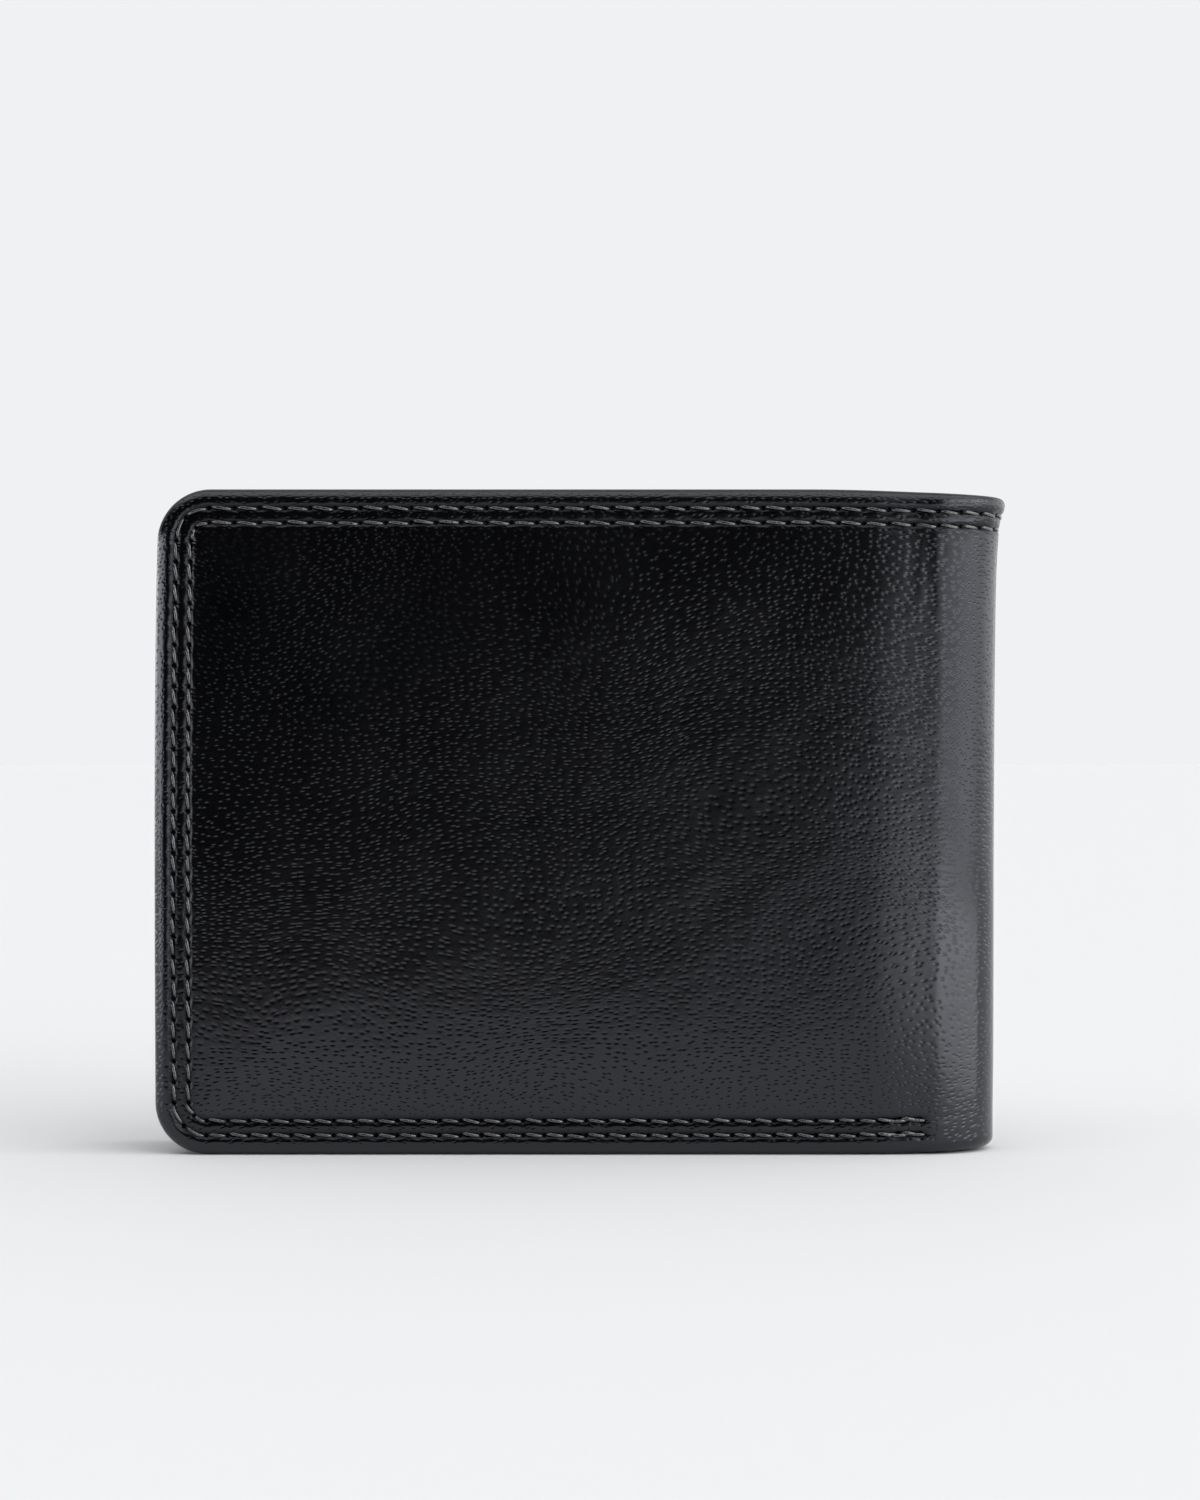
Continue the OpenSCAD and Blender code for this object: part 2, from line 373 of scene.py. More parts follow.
def seam_map(p, q):
    """For each point of the skin: the stitches counted along the seam, the inset, and whether
    it is sewn there."""
    inset = inset_of(p, q)
    left, below = p <= np.minimum(q, HEIGHT - q), q < np.minimum(p, HEIGHT - q)
    top = (p - MIDDLE) / TOP_PITCH
    count_side = TOP_STITCHES + CORNER_STITCHES
    side = -count_side - (HEIGHT - CORNER - q) / SIDE_PITCH
    count_bottom = count_side + SIDE_STITCHES + CORNER_STITCHES
    bottom = -count_bottom - (p - CORNER) / BOTTOM_PITCH
    radius = np.maximum(CORNER - inset, 1e-6)
    on_top = p < CORNER
    top = np.where(on_top, -TOP_STITCHES - np.minimum((CORNER - p) / radius, 1), top)
    high, low = q > HEIGHT - CORNER, q < CORNER
    side = np.where(high, -count_side + np.minimum((CORNER - HEIGHT + q) / radius, 1), side)
    side = np.where(low, -(count_side + SIDE_STITCHES) - np.minimum((CORNER - q) / radius, 1), side)
    bottom = np.where(on_top, -count_bottom + np.minimum((CORNER - p) / radius, 1), bottom)
    along = np.where(left, side, np.where(below, bottom, top))
    sewn = np.where(below, 1 - smooth((p - BOTTOM_END) / 1.2), 1.0)
    return np.stack([along, inset, sewn], -1)


def bend(obj):
    """Bakes the transform of a part of the skin, or of what lies on it, into its mesh."""
    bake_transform(obj)


def stand_for(name, what):
    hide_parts(*[prefix + what for prefix in STANDS_FOR[name]])


def skin_part(name, start, end, sizes):
    def shape(u, q, outer):
        p = np.minimum(u, WIDE_OPEN - u)
        r = np.where(outer, skin_outside(p, q, sizes), skin_inside(p, q, sizes))
        p2, q2 = round_corners(p, q)
        u2 = np.where(u < MIDDLE, p2, WIDE_OPEN - p2)
        # where the hide turns in over the rim it goes on, as it did when it was flat
        over = TURNED_REACH - np.minimum(inset_of(p, q), TURNED_REACH)
        flat = np.stack([u2 - np.where(u < MIDDLE, over, -over), q2 + over, np.where(outer, r, r + 40)], -1)
        return place(u2, r - drawn_in(p, q, sizes), q2, p2), flat * MM, seam_map(p, q)

    return closed_grid(name + "_leather_cover", skin_columns(name, start, end), skin_rows(), shape)


def sheet_part(name, label, columns, rows, faces, sizes, follows=1.0):
    """A plain sheet inside the skin that draws in with it. faces are the distances of its
    outer and inner side from the middle plane."""
    columns, rows = np.array(columns), np.array(rows)

    def shape(u, q, outer):
        p = np.minimum(u, WIDE_OPEN - u)
        r = np.where(outer, *faces)
        flat = np.stack([u, q, r], -1) * MM
        return place(u, r - follows * drawn_in(p, q, sizes), q, p, 1.0), flat, None

    return closed_grid(name + label, columns, rows, shape)


# ---------------------------------------------------------------- stitches


def row_at(count, inset):
    """The plan position of a place on a row, from the stitches counted from the spine's middle."""
    k = -count
    side0 = TOP_STITCHES + CORNER_STITCHES
    low0 = side0 + SIDE_STITCHES
    bottom0 = low0 + CORNER_STITCHES
    radius = CORNER - inset
    s1, s2 = k - TOP_STITCHES, k - low0
    p = MIDDLE - k * TOP_PITCH
    q = HEIGHT - inset + 0 * k
    p = np.where(s1 > 0, CORNER - radius * np.minimum(s1, 1), p)
    q = np.where(s1 > 1, HEIGHT - inset - radius * (s1 - 1), q)
    p = np.where(k > side0, inset, p)
    q = np.where(k > side0, HEIGHT - CORNER - (k - side0) * SIDE_PITCH, q)
    q = np.where(s2 > 0, CORNER - radius * np.minimum(s2, 1), q)
    p = np.where(s2 > 1, inset + radius * (s2 - 1), p)
    p = np.where(k > bottom0, CORNER + (k - bottom0) * BOTTOM_PITCH, p)
    q = np.where(k > bottom0, inset, q)
    return p, q


def thread_mesh(name, line, up, thickness):
    """Many short stitches in one mesh. line is their centres, (stitch, ring, 3), and up points
    away from the leather at each."""
    rings, sides = line.shape[1], 8
    along = np.gradient(line, axis=1)
    along /= np.linalg.norm(along, axis=2, keepdims=True)
    across = np.cross(along, up)
    across /= np.linalg.norm(across, axis=2, keepdims=True)
    lift = np.cross(across, along)
    t = np.linspace(-1, 1, rings)
    width = thickness / 2 * (1 - 0.35 * np.abs(t) ** 3)
    # the thread is pressed flat, with rounded sides
    turn = 2 * math.pi * np.arange(sides) / sides
    wide, high = np.cos(turn), np.sign(np.sin(turn)) * np.abs(np.sin(turn)) ** 0.6 * 0.6
    ring = (
        line[:, :, None]
        + (wide[:, None] * across[:, :, None] + high[:, None] * lift[:, :, None]) * width[None, :, None, None]
    )
    one = rings * sides
    faces = [
        (a * sides + b, a * sides + (b + 1) % sides, (a + 1) * sides + (b + 1) % sides, (a + 1) * sides + b)
        for a in range(rings - 1)
        for b in range(sides)
    ]
    faces += [tuple(range(sides))[::-1], tuple(range(one - sides, one))]
    everything = [tuple(i + n * one for i in f) for n in range(len(line)) for f in faces]
    mesh = bpy.data.meshes.new(name)
    mesh.from_pydata(ring.reshape(-1, 3).tolist(), [], everything)
    obj = bpy.data.objects.new(name, mesh)
    bpy.context.scene.collection.objects.link(obj)
    deselect()
    finish_mesh(obj, name, angle=60, merge=False)
    mark_hide(obj)
    return obj


# A stitch's rings: how far along it they are, and how high they lie. Its ends dive into holes.
RING_AT = np.array([0.0, 0.1, 0.22, 0.36, 0.64, 0.78, 0.9, 1.0])
RING_LIFT = np.array([-0.45, 0.0, 0.14, 0.2, 0.2, 0.14, 0.0, -0.45])
SLANT = 0.36
HOLE_GAP = 0.07
RINGS = HOLE_GAP + (1 - 2 * HOLE_GAP) * RING_AT

# The four stitches that are sewn over a seam's end: where they are, how they tilt and shift
TACK_AT = np.array([1.7, 1.0, 0.45, 0.15])
TACK_TILT = np.array([0.42, -0.1, 0.5, 0.15])
TACK_SHIFT = np.array([0.05, -0.12, 0.12, -0.05])


def cover_row_stitches(name, row, start, end, sizes):
    """The stitches of one row on one part of the skin."""
    flip = name in ("back", "spine_back")
    low, high = (WIDE_OPEN - end, WIDE_OPEN - start) if flip else (start, end)
    holes = -np.arange(ALL_STITCHES, dtype=float)
    p_mid, _ = row_at(holes - 0.5, ROWS[row])
    mine = (p_mid > low) & (p_mid <= high)
    first = holes[mine]
    at = first[:, None] - RINGS[None, :]
    uneven = np.random.default_rng(7 + row).normal(size=(3, len(holes)))[:, mine][:, :, None]
    lift = RING_LIFT + 0.03 * uneven[0]
    # they slant one way along the top and the bottom, and the other way beside the open edge
    by_edge = (-first > TOP_STITCHES) & (-first < TOP_STITCHES + SIDE_STITCHES + 2 * CORNER_STITCHES - 1)
    slant = np.where(by_edge, SLANT, -SLANT)[:, None] + 0.07 * uneven[1]
    inset = ROWS[row] + slant * (RING_AT - 0.5)[None, :] * (-1 if flip else 1)
    inset = inset + 0.05 * uneven[2]
    if name in ("front", "back"):
        # the last stitches along the bottom are sewn twice, and the ends sit on them
        again = -ALL_STITCHES + TACK_AT[:, None] - 0.75 * (RING_AT - 0.5)[None, :]
        at = np.vstack([at, again])
        lift = np.vstack([lift, np.broadcast_to(RING_LIFT + 0.16, again.shape)])
        tilt = TACK_TILT[:, None] * (0.5 - RING_AT)[None, :]
        inset = np.vstack([inset, ROWS[row] + tilt + TACK_SHIFT[:, None]])
    p, q = row_at(at, inset)
    r = skin_outside(p, q, sizes) - drawn_in(p, q, sizes) + lift
    p2, q2 = round_corners(p, q)
    u2 = WIDE_OPEN - p2 if flip else p2
    line = place(u2, r, q2, p2)
    up = place(u2, r + 1, q2, p2) - line
    return thread_mesh(f"{name}_{ROW_NAMES[row]}_seam", line, up, sizes.thread)


def panel_stitches(side, sizes):
    """Two rows by the open edge and the bottom of a card panel, and one beside the fold."""

    def face(q):
        r = np.zeros_like(q)
        for low, level in reversed(FACES[side]):
            r = np.where(q > low, level, r)
        return r

    lines, ups = [], []
    for inset in ROWS:
        start = TOP_STITCHES + CORNER_STITCHES + 2
        first = -np.arange(start, ALL_STITCHES - 1, dtype=float)
        at = first[:, None] - RINGS[None, :]
        p, q = row_at(at, inset + SLANT * (RING_AT - 0.5)[None, :])
        lines.append((p, q))
    rise = np.arange(7.0, 82.0, SIDE_PITCH)
    q = rise[:, None] + SIDE_PITCH * RINGS[None, :]
    lines.append((FLAT - 3.75 + SLANT * (RING_AT - 0.5)[None, :] + 0 * q, q))
    p, q = (np.vstack([a[n] for a in lines]) for n in (0, 1))
    level = face(q[:, 3:5].mean(1))[:, None]
    r = level - 0.6 * RING_LIFT[None, :] + 0.02
    p2, q2 = round_corners(p, q)
    u = WIDE_OPEN - p2 if side == "back" else p2
    line = place(u, r, q2, p2, 1.0)
    up = place(u, r - 1, q2, p2, 1.0) - line
    return thread_mesh(side + "_panel_seam", line, up, sizes.thread * 0.9)


# ---------------------------------------------------------------- materials


def linear(hex_colour):
    """An sRGB hex value as linear red, green, blue and alpha."""
    values = [int(hex_colour[i : i + 2], 16) / 255 for i in (1, 3, 5)]
    return tuple(v / 12.92 if v <= 0.04045 else ((v + 0.055) / 1.055) ** 2.4 for v in values) + (1.0,)


def add(tree, kind, inputs=None, **settings):
    """Adds a node. A value for an input may be a number, a colour or another node's output."""
    made = tree.nodes.new(kind)
    for key, value in settings.items():
        setattr(made, key, value)
    for key, value in (inputs or {}).items():
        if isinstance(value, bpy.types.NodeSocket):
            tree.links.new(value, made.inputs[key])
        else:
            made.inputs[key].default_value = value
    return made


def sum_of(tree, *terms):
    """Adds (output, weight) terms together and returns the sum's output."""
    total = None
    for output, weight in terms:
        part = add(tree, "ShaderNodeMath", {0: output, 1: weight}, operation="MULTIPLY").outputs[0]
        total = part if total is None else add(tree, "ShaderNodeMath", {0: total, 1: part}).outputs[0]
    return total


def math_node(tree, operation, *values):
    return add(tree, "ShaderNodeMath", dict(enumerate(values)), operation=operation).outputs[0]


def new_material(name, colour, roughness):
    mat = bpy.data.materials.new(name)
    mat.use_nodes = True
    tree = mat.node_tree
    shader = next(n for n in tree.nodes if n.type == "BSDF_PRINCIPLED")
    shader.inputs["Base Color"].default_value = linear(colour)
    shader.inputs["Roughness"].default_value = roughness
    mat.diffuse_color = linear(colour)
    return mat, tree, shader


def hump(tree, value, middle, width):
    """1 where the value is the middle, falling away smoothly within about two widths."""
    off = math_node(tree, "SUBTRACT", value, middle)
    squared = math_node(tree, "MULTIPLY", off, off)
    return math_node(tree, "EXPONENT", math_node(tree, "MULTIPLY", squared, -1 / width**2))


def bumped(tree, shader, height, strength=1.0, distance=1.0):
    bump = add(tree, "ShaderNodeBump", {"Height": height, "Strength": strength, "Distance": distance})
    tree.links.new(bump.outputs[0], shader.inputs["Normal"])


def toned(tree, shader, colour, share, amount):
    """The colour where the amount is 1, and only a share of it where the amount is 0."""
    base = linear(colour)
    mix = add(tree, "ShaderNodeMix", {0: amount}, data_type="RGBA")
    # names repeat on a mix node, so its colour sockets are set by their place
    for socket, value in zip((6, 7), (tuple(c * share for c in base[:3]) + (1,), base)):
        mix.inputs[socket].default_value = value
    tree.links.new(mix.outputs[2], shader.inputs["Base Color"])


def noise(tree, where, scale, detail, output="Fac", **inputs):
    inputs = {"Vector": where, "Scale": scale, "Detail": detail, **inputs}
    return add(tree, "ShaderNodeTexNoise", inputs).outputs[output]


def sewn_marks(tree, height, painted_shade_tone):
    """Adds each row's holes and the puckers between them. Gives the new height, the painted shade tone with
    each hole painted dark as painted shade, and how much sheen is left, cut down along the rows as painted
    shade of the grooves."""
    seam = add(tree, "ShaderNodeUVMap", uv_map="seam").outputs[0]
    count, inset, _ = add(tree, "ShaderNodeSeparateXYZ", {0: seam}).outputs
    held = add(tree, "ShaderNodeAttribute", attribute_name="sewn").outputs["Fac"]
    wave = math_node(tree, "COSINE", math_node(tree, "MULTIPLY", count, 2 * math.pi))
    at_hole = math_node(tree, "POWER", math_node(tree, "MAXIMUM", wave, 0.0), 14.0)
    shine = 1.0
    for row in ROWS:
        near = math_node(tree, "MULTIPLY", hump(tree, inset, row, 0.3), held)
        wide = math_node(tree, "MULTIPLY", hump(tree, inset, row, 0.6), held)
        hole = math_node(tree, "MULTIPLY", near, at_hole)
        pucker = math_node(tree, "MULTIPLY", wide, wave)
        height = sum_of(tree, (height, 1.0), (hole, -0.00012), (pucker, -0.00005))
        # painted shade: each needle hole is painted dark in the base colour
        painted_shade_tone = math_node(tree, "SUBTRACT", painted_shade_tone, hole)
        # painted shade: the sheen is cut down around each row, where its groove lies in shade
        left = math_node(tree, "SUBTRACT", 1.0, math_node(tree, "MULTIPLY", wide, 0.85))
        shine = math_node(tree, "MULTIPLY", shine, left)
    return height, painted_shade_tone, shine


def leather(name, sizes, colours, sewn=False, creased=False, pebble=1.0, depth=1.0):
    """Black calf with a fine pebbled grain under a clear finish. The finish gives a soft sheen
    that breaks up on the pebbles, with pores and valleys between them; the pores are painted darker, as
    painted shade."""
    mat, tree, shader = new_material(name, colours.leather, 0.4)
    where = add(tree, "ShaderNodeAttribute", attribute_name="hide").outputs["Vector"]
    per_metre = 1 / (sizes.pebble * pebble)
    # the grain is drawn out a little in one direction, which wanders over the hide
    wander = noise(tree, where, 32.0, 1.0, "Color")
    shifted = add(
        tree, "ShaderNodeVectorMath", {0: wander, 1: (0.008, 0.014, 0.0)}, operation="MULTIPLY"
    ).outputs[0]
    hide = add(tree, "ShaderNodeVectorMath", {0: where, 1: shifted}).outputs[0]
    hide = add(tree, "ShaderNodeVectorMath", {0: hide, 1: (0.6, 1.12, 1.0)}, operation="MULTIPLY").outputs[0]
    cells = add(
        tree, "ShaderNodeTexVoronoi", {"Vector": hide, "Scale": per_metre, "Randomness": 0.8},
        voronoi_dimensions="2D", feature="F1",
    ).outputs["Distance"]
    # pores and short wrinkles, between which the hide is nearly flat
    pits = hump(tree, cells, 0.0, 0.21)
    creases = noise(tree, hide, per_metre * 0.6, 2.0, Roughness=0.5)
    fine = noise(tree, where, per_metre * 3.2, 1.0)
    broad = noise(tree, where, 90.0, 2.0)
    deep = sizes.grain_depth * depth
    height = sum_of(tree, (pits, -deep), (creases, deep * 0.8), (fine, deep * 0.15), (broad, 0.00015 * depth))
    # painted shade: the base colour is darker in the pores
    painted_shade_tone = math_node(tree, "SUBTRACT", 1.0, math_node(tree, "MULTIPLY", pits, 0.7))
    shader.inputs["Specular IOR Level"].default_value = 0.6
    shader.inputs["Specular Tint"].default_value = (0.9, 0.92, 1.0, 1.0)
    if sewn:
        height, painted_shade_tone, shine = sewn_marks(tree, height, painted_shade_tone)
        # painted shade: the sheen is cut down along the stitch rows
        tree.links.new(math_node(tree, "MULTIPLY", shine, 0.6), shader.inputs["Specular IOR Level"])
    if creased:
        # a hot line is run along a pocket's edge, and its groove is painted darker as painted shade
        edge = add(tree, "ShaderNodeAttribute", attribute_name="from_edge").outputs["Fac"]
        line = hump(tree, edge, 0.0016, 0.00022)
        height = sum_of(tree, (height, 1.0), (line, -0.00018))
        # painted shade: the base colour is darker along the crease line
        painted_shade_tone = math_node(tree, "SUBTRACT", painted_shade_tone, line)
    bumped(tree, shader, height)
    # painted shade: the base colour falls to 0.45 of itself in the pores, needle holes and crease lines
    toned(tree, shader, colours.leather, 0.45, painted_shade_tone)
    rough = add(tree, "ShaderNodeMapRange", {"Value": painted_shade_tone, 1: 0.0, 2: 1.0, 3: 0.25, 4: 0.18}).outputs[0]
    rough = sum_of(tree, (rough, 1.0), (math_node(tree, "SUBTRACT", broad, 0.5), 0.08))
    tree.links.new(rough, shader.inputs["Roughness"])
    return mat


def twill(colours):
    """Polyester twill lining. Its fine slanting ribs give it a dull, slightly silky face."""
    mat, tree, shader = new_material("polyester twill lining", colours.lining, 0.6)
    where = add(tree, "ShaderNodeAttribute", attribute_name="hide").outputs["Vector"]
    parts = add(tree, "ShaderNodeSeparateXYZ", {0: where})
    # ribs 0.6 mm apart, coarser than the real 0.4 mm so that they show
    slant = sum_of(tree, (parts.outputs[0], 1.0), (parts.outputs[1], 1.0), (parts.outputs[2], 1.0))
    rib = math_node(tree, "SINE", math_node(tree, "MULTIPLY", slant, 2 * math.pi / 0.00085))
    cross = math_node(tree, "SINE", math_node(tree, "MULTIPLY", parts.outputs[1], 2 * math.pi / 0.0004))
    uneven = noise(tree, where, 900.0, 2.0)
    bumped(tree, shader, sum_of(tree, (rib, 0.00004), (cross, 0.000012), (uneven, 0.00005)))
    shade = add(tree, "ShaderNodeMapRange", {"Value": rib, 1: -1.0, 2: 1.0, 3: 0.0, 4: 1.0}).outputs[0]
    toned(tree, shader, colours.lining, 0.55, shade)
    shader.inputs["Sheen Weight"].default_value = 0.15
    shader.inputs["Sheen Roughness"].default_value = 0.4
    return mat


def waxed_thread(colours):
    """Waxed polyester thread. The wax gives each stitch a small, sharp glint."""
    mat, tree, shader = new_material("waxed polyester thread", colours.thread, 0.3)
    shader.inputs["Specular IOR Level"].default_value = 1.0
    shader.inputs["Coat Weight"].default_value = 0.7
    shader.inputs["Coat Roughness"].default_value = 0.2
    where = add(tree, "ShaderNodeAttribute", attribute_name="hide").outputs["Vector"]
    plies = noise(tree, where, 2600.0, 2.0)
    bumped(tree, shader, plies, 1.0, 0.00012)
    rough = add(tree, "ShaderNodeMapRange", {"Value": plies, 1: 0.3, 2: 0.7, 3: 0.16, 4: 0.34}).outputs[0]
    tree.links.new(rough, shader.inputs["Roughness"])
    return mat


def fibre_board(colours):
    """Grey-brown fibre board, with short fibres and no shine."""
    mat, tree, shader = new_material("fibre board", colours.board, 0.9)
    where = add(tree, "ShaderNodeTexCoord").outputs["Object"]
    fibres = noise(tree, where, 1500.0, 4.0)
    toned(tree, shader, colours.board, 0.7, fibres)
    bumped(tree, shader, fibres, 0.5, 0.0001)
    return mat


def clear_vinyl(colours):
    """Clear soft vinyl film. It is glossy, and slightly wavy where it was rolled."""
    mat, tree, shader = new_material("clear vinyl film", colours.film, 0.08)
    where = add(tree, "ShaderNodeTexCoord").outputs["Object"]
    bumped(tree, shader, noise(tree, where, 70.0, 1.0), 0.5, 0.0004)
    shader.inputs["Transmission Weight"].default_value = 1.0
    shader.inputs["IOR"].default_value = 1.5
    return mat


MATERIALS = {}


def finish_of(key):
    """Makes each material when it is first asked for."""
    scene = bpy.context.scene
    sizes, colours = scene.wallet_sizes, scene.wallet_colours
    makers = {
        "cover": lambda: leather("pebbled calf leather", sizes, colours, sewn=True),
        "panel": lambda: leather("smooth calf leather", sizes, colours, creased=True, pebble=0.8, depth=0.6),
        "lining": lambda: twill(colours),
        "thread": lambda: waxed_thread(colours),
        "board": lambda: fibre_board(colours),
        "film": lambda: clear_vinyl(colours),
    }
    if key not in MATERIALS:
        MATERIALS[key] = makers[key]()
    return MATERIALS[key]


def dress(obj, key):
    """Gives a piece its only material."""
    obj.data.materials.clear()
    obj.data.materials.append(finish_of(key))
    for face in obj.data.polygons:
        face.material_index = 0
    return obj


def rounded_copy(node, name, bevel, top=None):
    """A copy of a frame solid with its triangles merged and its edges rounded. top is the
    height of the edge that a crease follows."""
    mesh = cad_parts[node].data.copy()
    obj = bpy.data.objects.new(name, mesh)
    bpy.context.scene.collection.objects.link(obj)
    deselect()
    obj.select_set(True)
    bpy.context.view_layer.objects.active = obj
    bpy.ops.object.mode_set(mode="EDIT")
    bpy.ops.mesh.select_all(action="SELECT")
    bpy.ops.mesh.remove_doubles(threshold=1e-6)
    bpy.ops.mesh.dissolve_limited(angle_limit=math.radians(1))
    bpy.ops.object.mode_set(mode="OBJECT")
    if mesh.has_custom_normals:
        bpy.ops.mesh.customdata_custom_splitnormals_clear()
    soft = obj.modifiers.new("rounded edges", "BEVEL")
    soft.width, soft.segments, soft.limit_method = bevel * MM, 3, "ANGLE"
    soft.angle_limit = math.radians(50)
    bpy.ops.object.modifier_apply(modifier=soft.name)
    finish_mesh(obj, name, angle=35)
    mark_hide(obj)
    if top is not None:
        mark = obj.data.attributes.new("from_edge", "FLOAT", "POINT")
        mark.data.foreach_set("value", (top * MM - points_of(obj)[:, 2]).astype(np.float32))
    return obj


# ---------------------------------------------------------------- studio

# The table ends in front of the wallet, and the wallet stands a hair above it
TABLE_HALF = (12, 6.12)
TABLE_FRONT = -0.235
HAIR = 0.00002


def paper_floor():
    deselect()
    bpy.ops.mesh.primitive_plane_add(size=2)
    floor = bpy.context.object
    floor.name = "floor"
    wide, long = TABLE_HALF
    set_points(floor, points_of(floor) * np.array([wide, long, 1]) + np.array([0, TABLE_FRONT + long, -HAIR]))
    mat, tree, shader = new_material("white paper floor", "#eeeded", 0.75)
    shader.inputs["Specular IOR Level"].default_value = 0.2
    floor.data.materials.append(mat)


def soft_light(tree):
    """How bright the studio is in each direction: a large soft light on the right, stronger
    below and at its far end, a pale wall at the left and behind, a soft ceiling in front, and
    a dark room where the leather's face looks."""
    way = add(tree, "ShaderNodeTexCoord").outputs["Generated"]
    x, y, z = add(tree, "ShaderNodeSeparateXYZ", {0: way}).outputs

    def rises(value, low, high, top=1.0):
        """From 0 at low to top at high."""
        inputs = {"Value": value, 1: low, 2: high, 3: 0.0, 4: top}
        return add(tree, "ShaderNodeMapRange", inputs, interpolation_type="SMOOTHSTEP").outputs[0]

    def product(*values):
        total = values[0]
        for value in values[1:]:
            total = math_node(tree, "MULTIPLY", total, value)
        return total

    side = product(rises(x, 0.14, 0.56, 1.25), rises(z, 0.8, 0.3))
    low = product(rises(x, -0.08, 0.34, 2.2), rises(z, 0.05, -0.12))
    window = product(rises(z, 0.14, 0.3), rises(z, 0.75, 0.5), rises(y, 0.1, -0.1), rises(x, 0.12, 0.5, 2.4))
    far = rises(x, 0.7, 0.95, 0.55)
    right = sum_of(tree, (side, 1.0), (low, 1.0), (window, 1.0), (far, 1.0))
    left = product(rises(x, -0.45, -0.78, 3.9), rises(z, 0.2, 0.08))
    behind = product(rises(y, -0.1, 0.35, 0.54), math_node(tree, "ADD", rises(z, -0.1, 0.5, 0.7), 0.3))
    ceiling = product(rises(z, 0.55, 0.8), math_node(tree, "ADD", rises(y, 0.3, -0.1, 1.27), 0.43))
    walls = math_node(tree, "MAXIMUM", right, left)
    around = math_node(tree, "MAXIMUM", walls, math_node(tree, "MAXIMUM", behind, ceiling))
    return math_node(tree, "ADD", around, 0.01)


def studio_world(scene):
    """The soft light, with a plain pale backdrop in view."""
    world = bpy.data.worlds.new("studio")
    scene.world = world
    world.use_nodes = True
    tree = world.node_tree
    tree.nodes.clear()
    cool = {"Color": (0.965, 0.98, 1.0, 1), "Strength": soft_light(tree)}
    light = add(tree, "ShaderNodeBackground", cool).outputs[0]
    seen = add(tree, "ShaderNodeLightPath").outputs["Is Camera Ray"]
    backdrop = add(tree, "ShaderNodeBackground", {"Color": linear("#f0f1f3"), "Strength": 1.0}).outputs[0]
    both = add(tree, "ShaderNodeMixShader", {0: seen, 1: light, 2: backdrop}).outputs[0]
    add(tree, "ShaderNodeOutputWorld", {"Surface": both})


def lamp(scene, name, kind, energy, way):
    """A lamp that shines along a direction."""
    made = bpy.data.objects.new(name, bpy.data.lights.new(name, kind))
    made.data.energy = energy
    made.rotation_euler = Vector(way).to_track_quat("-Z", "Y").to_euler()
    scene.collection.objects.link(made)
    return made


def studio_lamps(scene):
    sun = lamp(scene, "key", "SUN", 0.18, (-0.9, -0.2, -1.1))
    sun.data.angle = math.radians(40)
    # a low strip beside the fold carries the right light's sheen down to the leather's foot
    strip = lamp(scene, "low strip", "AREA", 0.0137, (-0.96, 0.28, 0))
    strip.data.shape, strip.data.size, strip.data.size_y = "RECTANGLE", 0.1, 0.03
    strip.location = (0.096, -0.056, 0.0153)
    strip.visible_camera = strip.visible_diffuse = False


def studio_camera(scene):
    camera = bpy.data.objects.new("camera", bpy.data.cameras.new("camera"))
    camera.data.sensor_fit = "HORIZONTAL"
    camera.data.sensor_width = 36
    camera.data.lens = 100
    camera.data.clip_start, camera.data.clip_end = 0.01, 50
    camera.location = (0.0027, -0.459, 0.0547)
    camera.rotation_euler = (math.radians(90), 0, 0)
    scene.collection.objects.link(camera)
    scene.camera = camera


# ---------------------------------------------------------------- operators


class WALLET_OT_stage(bpy.types.Operator):
    """Pale floor, soft studio light and the camera"""

    bl_idname = "wallet.stage"
    bl_label = "Studio Stage"

    def execute(self, context):
        scene = context.scene
        scene.view_settings.view_transform = "Standard"
        scene.view_settings.look = "None"
        paper_floor()
        studio_world(scene)
        studio_lamps(scene)
        studio_camera(scene)
        return {"FINISHED"}


class WALLET_OT_cover(bpy.types.Operator):
    """The cover's leather: turned edges, a hem inside, and the bend round the fold"""

    bl_idname = "wallet.cover"
    bl_label = "Leather Cover"

    def execute(self, context):
        sizes = context.scene.wallet_sizes
        for name, _, _, (start, end) in PARTS:
            obj = dress(skin_part(name, start, end, sizes), "cover")
            stand_for(name, "leather")
            bend(obj)
        return {"FINISHED"}


class WALLET_OT_cover_seams(bpy.types.Operator):
    """Two rows of stitches round the cover, sewn over the spine at the top"""

    bl_idname = "wallet.cover_seams"
    bl_label = "Cover Seams"

    def execute(self, context):
        sizes = context.scene.wallet_sizes
        for name, _, _, (start, end) in PARTS:
            for row, label in enumerate(ROW_NAMES):
                obj = dress(cover_row_stitches(name, row, start, end, sizes), "thread")
                stand_for(name, label + "_stitching")
                bend(obj)
        return {"FINISHED"}


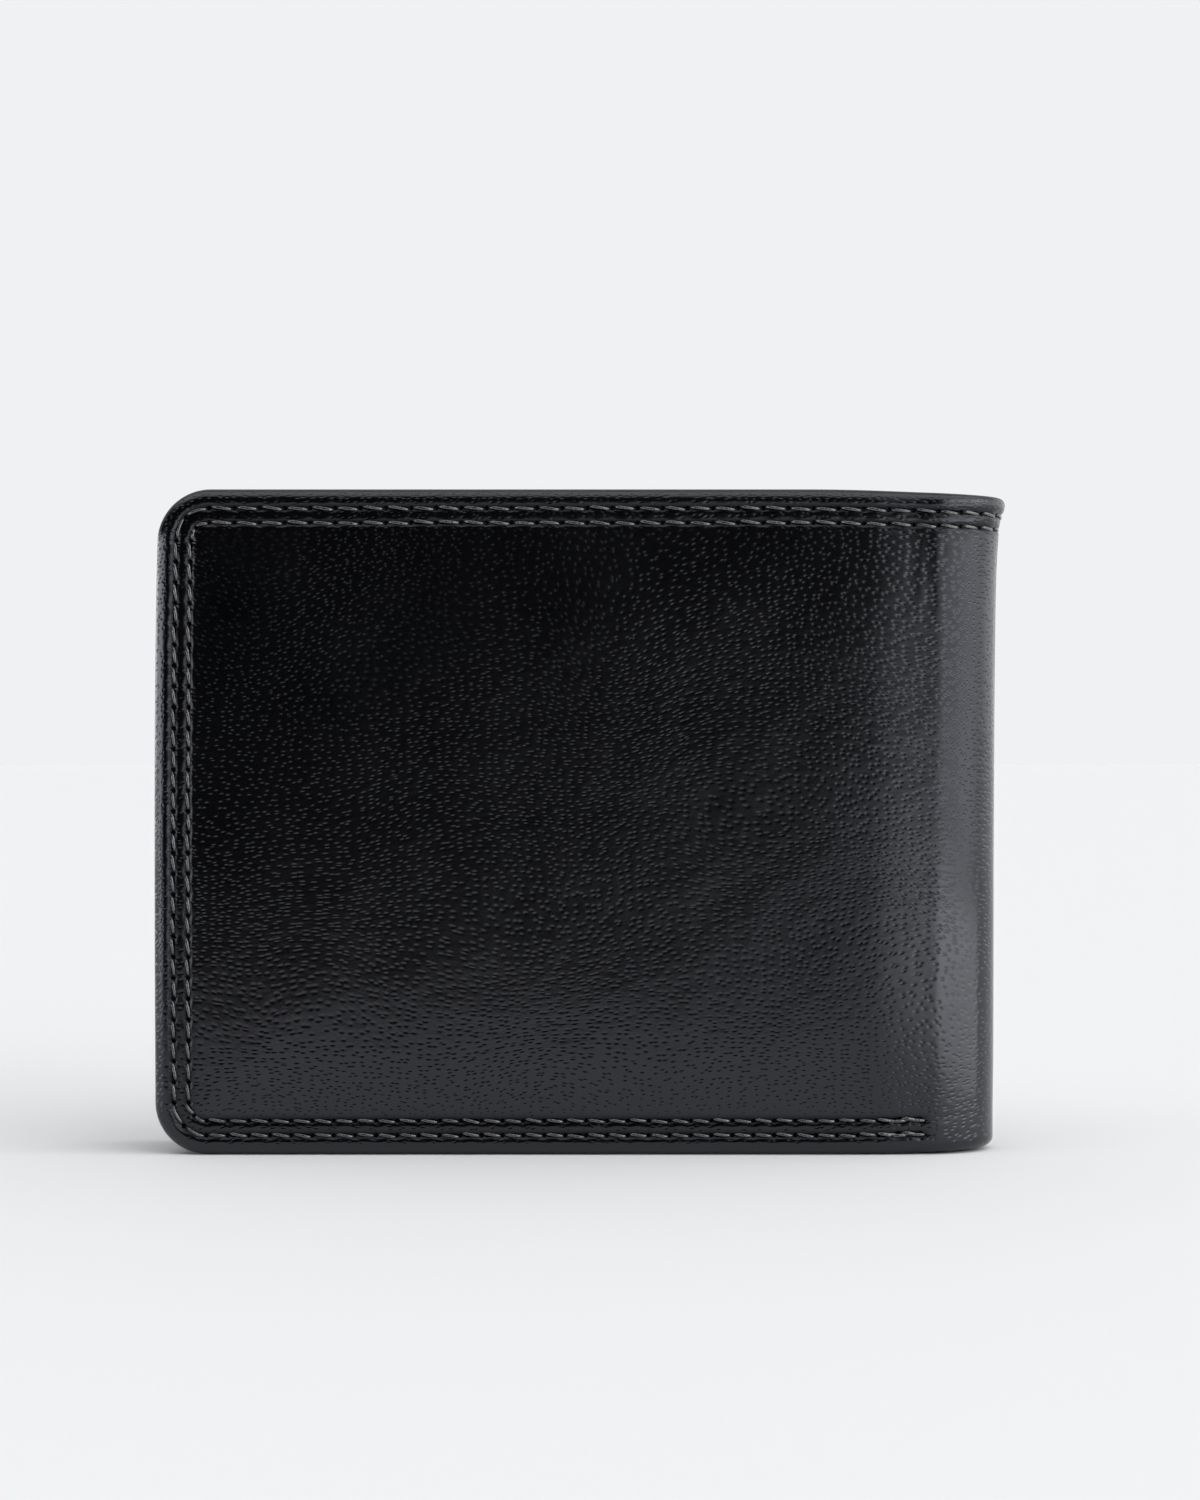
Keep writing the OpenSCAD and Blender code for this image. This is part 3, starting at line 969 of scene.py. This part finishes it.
class WALLET_OT_linings(bpy.types.Operator):
    """The lining inside the cover, the note wall and the tape along its edge"""

    bl_idname = "wallet.linings"
    bl_label = "Linings"

    def execute(self, context):
        sizes = context.scene.wallet_sizes
        low, high, cloths = LINING_INSET, HEIGHT - LINING_INSET, {}
        rows = steps(low, high, 4) + [high]
        for name, _, _, (start, end) in PARTS:
            columns = part_columns(name, start, end, steps(low, 88, 4) + [88], 0.8)
            obj = sheet_part(name, "_lining_cloth", columns, rows, LINING_FACES, sizes)
            dress(obj, "lining")
            stand_for(name, "lining")
            bend(obj)
            cloths[name] = obj
        # the two narrow strips by the spine's middle are parts of the same cloth
        for side in ("front", "back"):
            wall = rounded_copy(side + "_note_wall", side + "_note_wall_lining", 0.12)
            dress(wall, "lining")
            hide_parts(side + "_note_wall")
            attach(wall, side + "_half")
            tape = rounded_copy(side + "_edge_tape", side + "_edge_binding", 0.3)
            dress(tape, "lining")
            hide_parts(side + "_edge_tape")
            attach(tape, side + "_half")
        return {"FINISHED"}


class WALLET_OT_card_panels(bpy.types.Operator):
    """The card panels, their stepped pockets, and the band that joins them inside the fold"""

    bl_idname = "wallet.card_panels"
    bl_label = "Card Panels"

    def execute(self, context):
        sizes = context.scene.wallet_sizes
        for side, pockets in (("front", 4), ("back", 2)):
            made = [(side + "_card_panel", side + "_panel", BAND_HEIGHTS[1])]
            for i in range(pockets):
                made.append((f"{side}_card_pocket_{i + 1}", f"{side}_pocket_{i + 1}", FACES[side][i][0]))
            for node, name, top in made:
                obj = dress(rounded_copy(node, name, 0.28, top), "panel")
                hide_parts(node)
                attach(obj, side + "_half")
            seam = dress(panel_stitches(side, sizes), "thread")
            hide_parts(side + "_panel_stitching")
            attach(seam, side + "_half")
        for name, _, _, (start, end) in PARTS:
            edge = FLAT + math.radians(4) * ROUND
            first = edge if name == "front" else start
            last = WIDE_OPEN - edge if name == "back" else end
            even = steps(first + SEAM_COLUMN, last - SEAM_COLUMN, 0.9)
            columns = [first] + even + [last - SEAM_COLUMN, last]
            rows = steps(*BAND_HEIGHTS, 6) + [BAND_HEIGHTS[1]]
            band = sheet_part(name, "_band", columns, rows, BAND_FACES, sizes, 0.0)
            dress(band, "panel")
            spines = {"front": ["front"], "spine_front": ["front", "middle"],
                      "spine_back": ["middle", "back"], "back": ["back"]}[name]
            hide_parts(*[f"spine_{s}_band" for s in spines])
            bend(band)
        return {"FINISHED"}


class WALLET_OT_card_window(bpy.types.Operator):
    """The card window: a leather frame over a clear film"""

    bl_idname = "wallet.card_window"
    bl_label = "Card Window"

    def execute(self, context):
        rim = dress(rounded_copy("window_frame", "window_surround", 0.28, 60), "panel")
        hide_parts("window_frame")
        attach(rim, "back_half")
        film = dress(rounded_copy("window_film", "window_sheet", 0.08), "film")
        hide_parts("window_film")
        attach(film, "back_half")
        return {"FINISHED"}


class WALLET_OT_boards(bpy.types.Operator):
    """The fibre boards inside the covers"""

    bl_idname = "wallet.boards"
    bl_label = "Cover Boards"

    def execute(self, context):
        for side in ("front", "back"):
            dress(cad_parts[side + "_cover_board"], "board")
        return {"FINISHED"}


class WALLET_PT_panel(bpy.types.Panel):
    """Lists the wallet's pieces"""

    bl_idname = "WALLET_PT_panel"
    bl_label = "Wallet"
    bl_space_type = "VIEW_3D"
    bl_region_type = "UI"
    bl_category = "Wallet"

    def draw(self, context):
        for name in STEPS:
            self.layout.operator("wallet." + name)
        for group in (context.scene.wallet_sizes, context.scene.wallet_colours):
            for key in group.__annotations__:
                self.layout.prop(group, key)


STEPS = ("stage", "cover", "cover_seams", "card_panels", "linings", "card_window", "boards")
CLASSES = (
    WalletSizes,
    WalletColours,
    WALLET_OT_stage,
    WALLET_OT_cover,
    WALLET_OT_cover_seams,
    WALLET_OT_card_panels,
    WALLET_OT_linings,
    WALLET_OT_card_window,
    WALLET_OT_boards,
    WALLET_PT_panel,
)


def register():
    for cls in CLASSES:
        bpy.utils.register_class(cls)
    bpy.types.Scene.wallet_sizes = bpy.props.PointerProperty(type=WalletSizes)
    bpy.types.Scene.wallet_colours = bpy.props.PointerProperty(type=WalletColours)


def unregister():
    del bpy.types.Scene.wallet_colours
    del bpy.types.Scene.wallet_sizes
    for cls in reversed(CLASSES):
        bpy.utils.unregister_class(cls)


def main():
    register()
    for name in STEPS:
        getattr(bpy.ops.wallet, name)()


if __name__ == "__main__":
    main()
